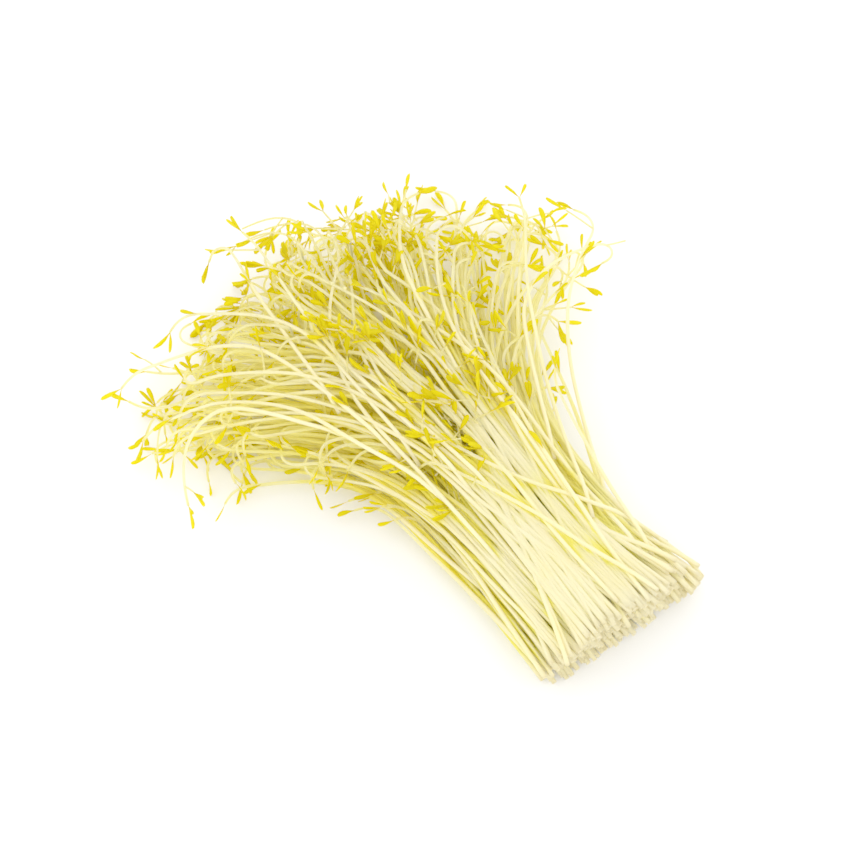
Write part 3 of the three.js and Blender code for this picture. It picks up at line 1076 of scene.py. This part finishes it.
def makeLeafMaterial():
    look = leafFinish
    material, tree, shader = newMaterial("goldenLeaf")
    along = readAttribute(tree, "along")
    tones = [(0.0, look["dark"]), (0.5, look["gold"]), (1.0, look["light"])]
    body = ramp(tree, readAttribute(tree, "tone"), tones)
    veins = noise(tree, readMap(tree), stretch=look["veinStretch"])
    spots = noise(tree, readPlace(tree), look["spotScale"])
    veined = mixColours(tree, spread(tree, veins, *look["veinShare"]), body, look["light"])
    spotted = mixColours(tree, spread(tree, spots, *look["spotShare"]), veined, look["dark"])
    rustBand = greyRamp(tree, along, [(0.1, 0), (0.2, 0.45), (0.38, 0)])
    rusty = mixColours(tree, rustBand, spotted, look["rust"])
    shown = mixColours(tree, greyRamp(tree, along, [(0.0, 1), (0.16, 0)]), rusty, look["foot"])
    tree.links.new(shown, shader.inputs["Base Color"])
    tree.links.new(spread(tree, spots, *look["roughness"]), shader.inputs["Roughness"])
    shader.inputs["Specular IOR Level"].default_value = look["specular"]
    normal = addBump(tree, shader, veins, look["bumpStrength"], look["bumpDistance"])
    letThrough(tree, shader, shown, normal, along, look["throughShare"])
    return material


stemMaterial = makeStemMaterial()
leafMaterial = makeLeafMaterial()
print("finishes made")


def newPiece():
    bm = bmesh.new()
    bm.verts.layers.float.new("along")
    bm.verts.layers.float.new("tone")
    bm.loops.layers.uv.new("shootMap")
    return bm


# Painted shade: stems that little light reaches get a golden tint. between is where the tint starts and
# where it is full, and palerOver is the x from which it is weaker and the x from which it is weakest.
shadePainting = {
    "away": (0.9, 1.8, 3.2, 5.5, 9.0),
    "directions": 6,
    "between": (0.02, 0.37),
    "paler": 0.5,
    "palerOver": (10, 34),
}


def steepnessFrom(places, angle):
    # How steeply the heap rises on one side of each point, as the share of the sky that it hides.
    aim = np.array([math.cos(angle), math.sin(angle)])
    steepest = np.zeros(len(places))
    for away in shadePainting["away"]:
        rise = field[cellsAt(places[:, :2] + aim * away)] - places[:, 2]
        steepest = np.maximum(steepest, rise / away)
    return steepest ** 2 / (1 + steepest ** 2)


def notePaintedShade(mesh):
    # How deep each point lies between its neighbours, kept as the strength of the painted shade.
    places = formPoints(mesh) / mm
    between = np.zeros(len(places))
    for angle in np.arange(shadePainting["directions"]) * math.pi / shadePainting["directions"]:
        sides = steepnessFrom(places, angle), steepnessFrom(places, angle + math.pi)
        between += np.minimum(*sides) / shadePainting["directions"]
    paler = 1 - shadePainting["paler"] * smooth(places[:, 0], *shadePainting["palerOver"])
    paintedShade = mesh.attributes.new("paintedShade", "FLOAT", "POINT")
    paintedShade.data.foreach_set("value", (paler * smooth(between, *shadePainting["between"])).astype(np.float32))


def finishPiece(bm, name, node):
    mesh = bpy.data.meshes.new(name)
    bm.to_mesh(mesh)
    bm.free()
    notePaintedShade(mesh)
    mesh.materials.append(stemMaterial)
    mesh.materials.append(leafMaterial)
    piece = bpy.data.objects.new(name, mesh)
    scene.collection.objects.link(piece)
    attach(piece, "root")
    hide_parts(node)
    return piece


def lockMiddle(layer, index):
    # Where a lock lies, from -1 at the left of the bunch to 1 at the right.
    return (index + 0.5) / layer["locks"] * 2 - 1


def growLayer(number, layer):
    # The shoots of a layer are laid in a mixed order, each in the piece of the lock it grows from.
    growing = [newPiece() for _ in range(layer["locks"])]
    order = []
    for index in range(layer["locks"]):
        fuller = 1 - growth["leftward"] * lockMiddle(layer, index)
        order += [index] * round(growth["perLock"][number] * fuller)
    rng.shuffle(order)
    for index in order:
        lockU = lockMiddle(layer, index)
        u = lockU + rng.uniform(-growth["mingle"], growth["mingle"]) / layer["locks"]
        lockFoot = bunch["cutEnd"][1] + u * bunch["cutSlant"]
        lockFoot += bunch["cutUneven"] * scatter(lockU * 7 + number)
        fanShoot(growing[index], layer, number, float(np.clip(u, -1, 1)), lockFoot)
    for nest in leafNests.get(layer["name"], []):
        addNest(growing[nest["lock"]], nest)
    if layer["name"] == "upper":
        for hollow in hollows:
            fillHollow(growing[hollow["lock"]], hollow)
    if layer["name"] == "top":
        for curl in curls:
            addCurl(growing[curl["lock"]], curl)
    return growing


# The bunch is laid from the bottom layer up, and finished when all of it lies.
laid = []
for number, layer in enumerate(bunch["layers"]):
    for index, bm in enumerate(growLayer(number, layer), start=1):
        laid.append((bm, f"shoots_{layer['name']}_{index}", f"{layer['name']}_lock_{index}"))
    print("layer laid:", layer["name"], "heap", round(float(field.max()), 1), "mm")
for index, row in enumerate(bunch["looseShoots"], start=1):
    bm = newPiece()
    looseShoot(bm, row)
    laid.append((bm, f"shoot_loose_{index}", f"loose_shoot_{index}"))
print("loose shoots laid, heap", round(float(field.max()), 1), "mm")

pieces = [finishPiece(*parts) for parts in laid]
corners = [len(face.vertices) for piece in pieces for face in piece.data.polygons]
print("pieces:", len(pieces), "triangles:", sum(corners) - 2 * len(corners))

# The studio is in metres. The floor lies floorDrop below the surface, clear of the lowest stems.
studio = {
    "floor": (0.93, 0.93, 0.92),
    "floorSize": 3.0,
    "floorDrop": 0.0004,
    "floorRoughness": 0.9,
    "floorSpecular": 0.1,
    "world": 1.31,
    "gamma": 1.55,
    "lights": [
        {"name": "keyLight", "place": (-0.7, 0.5, 1.1), "size": 0.9, "power": 1.0},
        {"name": "fillLight", "place": (0.8, -0.6, 0.9), "size": 1.1, "power": 0.4},
    ],
}


def makeFloor():
    bm = bmesh.new()
    bmesh.ops.create_grid(bm, x_segments=2, y_segments=2, size=studio["floorSize"])
    mesh = bpy.data.meshes.new("floor")
    bm.to_mesh(mesh)
    bm.free()
    floor = bpy.data.objects.new("floor", mesh)
    floor.location.z = -studio["floorDrop"]
    scene.collection.objects.link(floor)
    material, _, shader = newMaterial("paleFloor")
    shader.inputs["Base Color"].default_value = (*studio["floor"], 1)
    shader.inputs["Roughness"].default_value = studio["floorRoughness"]
    shader.inputs["Specular IOR Level"].default_value = studio["floorSpecular"]
    mesh.materials.append(material)


def softLight(name, place, size, power):
    light = bpy.data.lights.new(name, "AREA")
    light.shape = "DISK"
    light.size = size
    light.energy = power
    lamp = bpy.data.objects.new(name, light)
    lamp.location = place
    lamp.rotation_euler = Vector(place).to_track_quat("Z", "Y").to_euler()
    scene.collection.objects.link(lamp)


def lightWorld():
    world = bpy.data.worlds.new("studio")
    world.use_nodes = True
    background = world.node_tree.nodes["Background"]
    background.inputs["Color"].default_value = (1, 1, 1, 1)
    background.inputs["Strength"].default_value = studio["world"]
    scene.world = world
    scene.view_settings.view_transform = "Standard"
    scene.view_settings.gamma = studio["gamma"]


makeFloor()
for lightRow in studio["lights"]:
    softLight(**lightRow)
lightWorld()
print("floor and lights made")

for form in forms:
    bpy.data.meshes.remove(form)
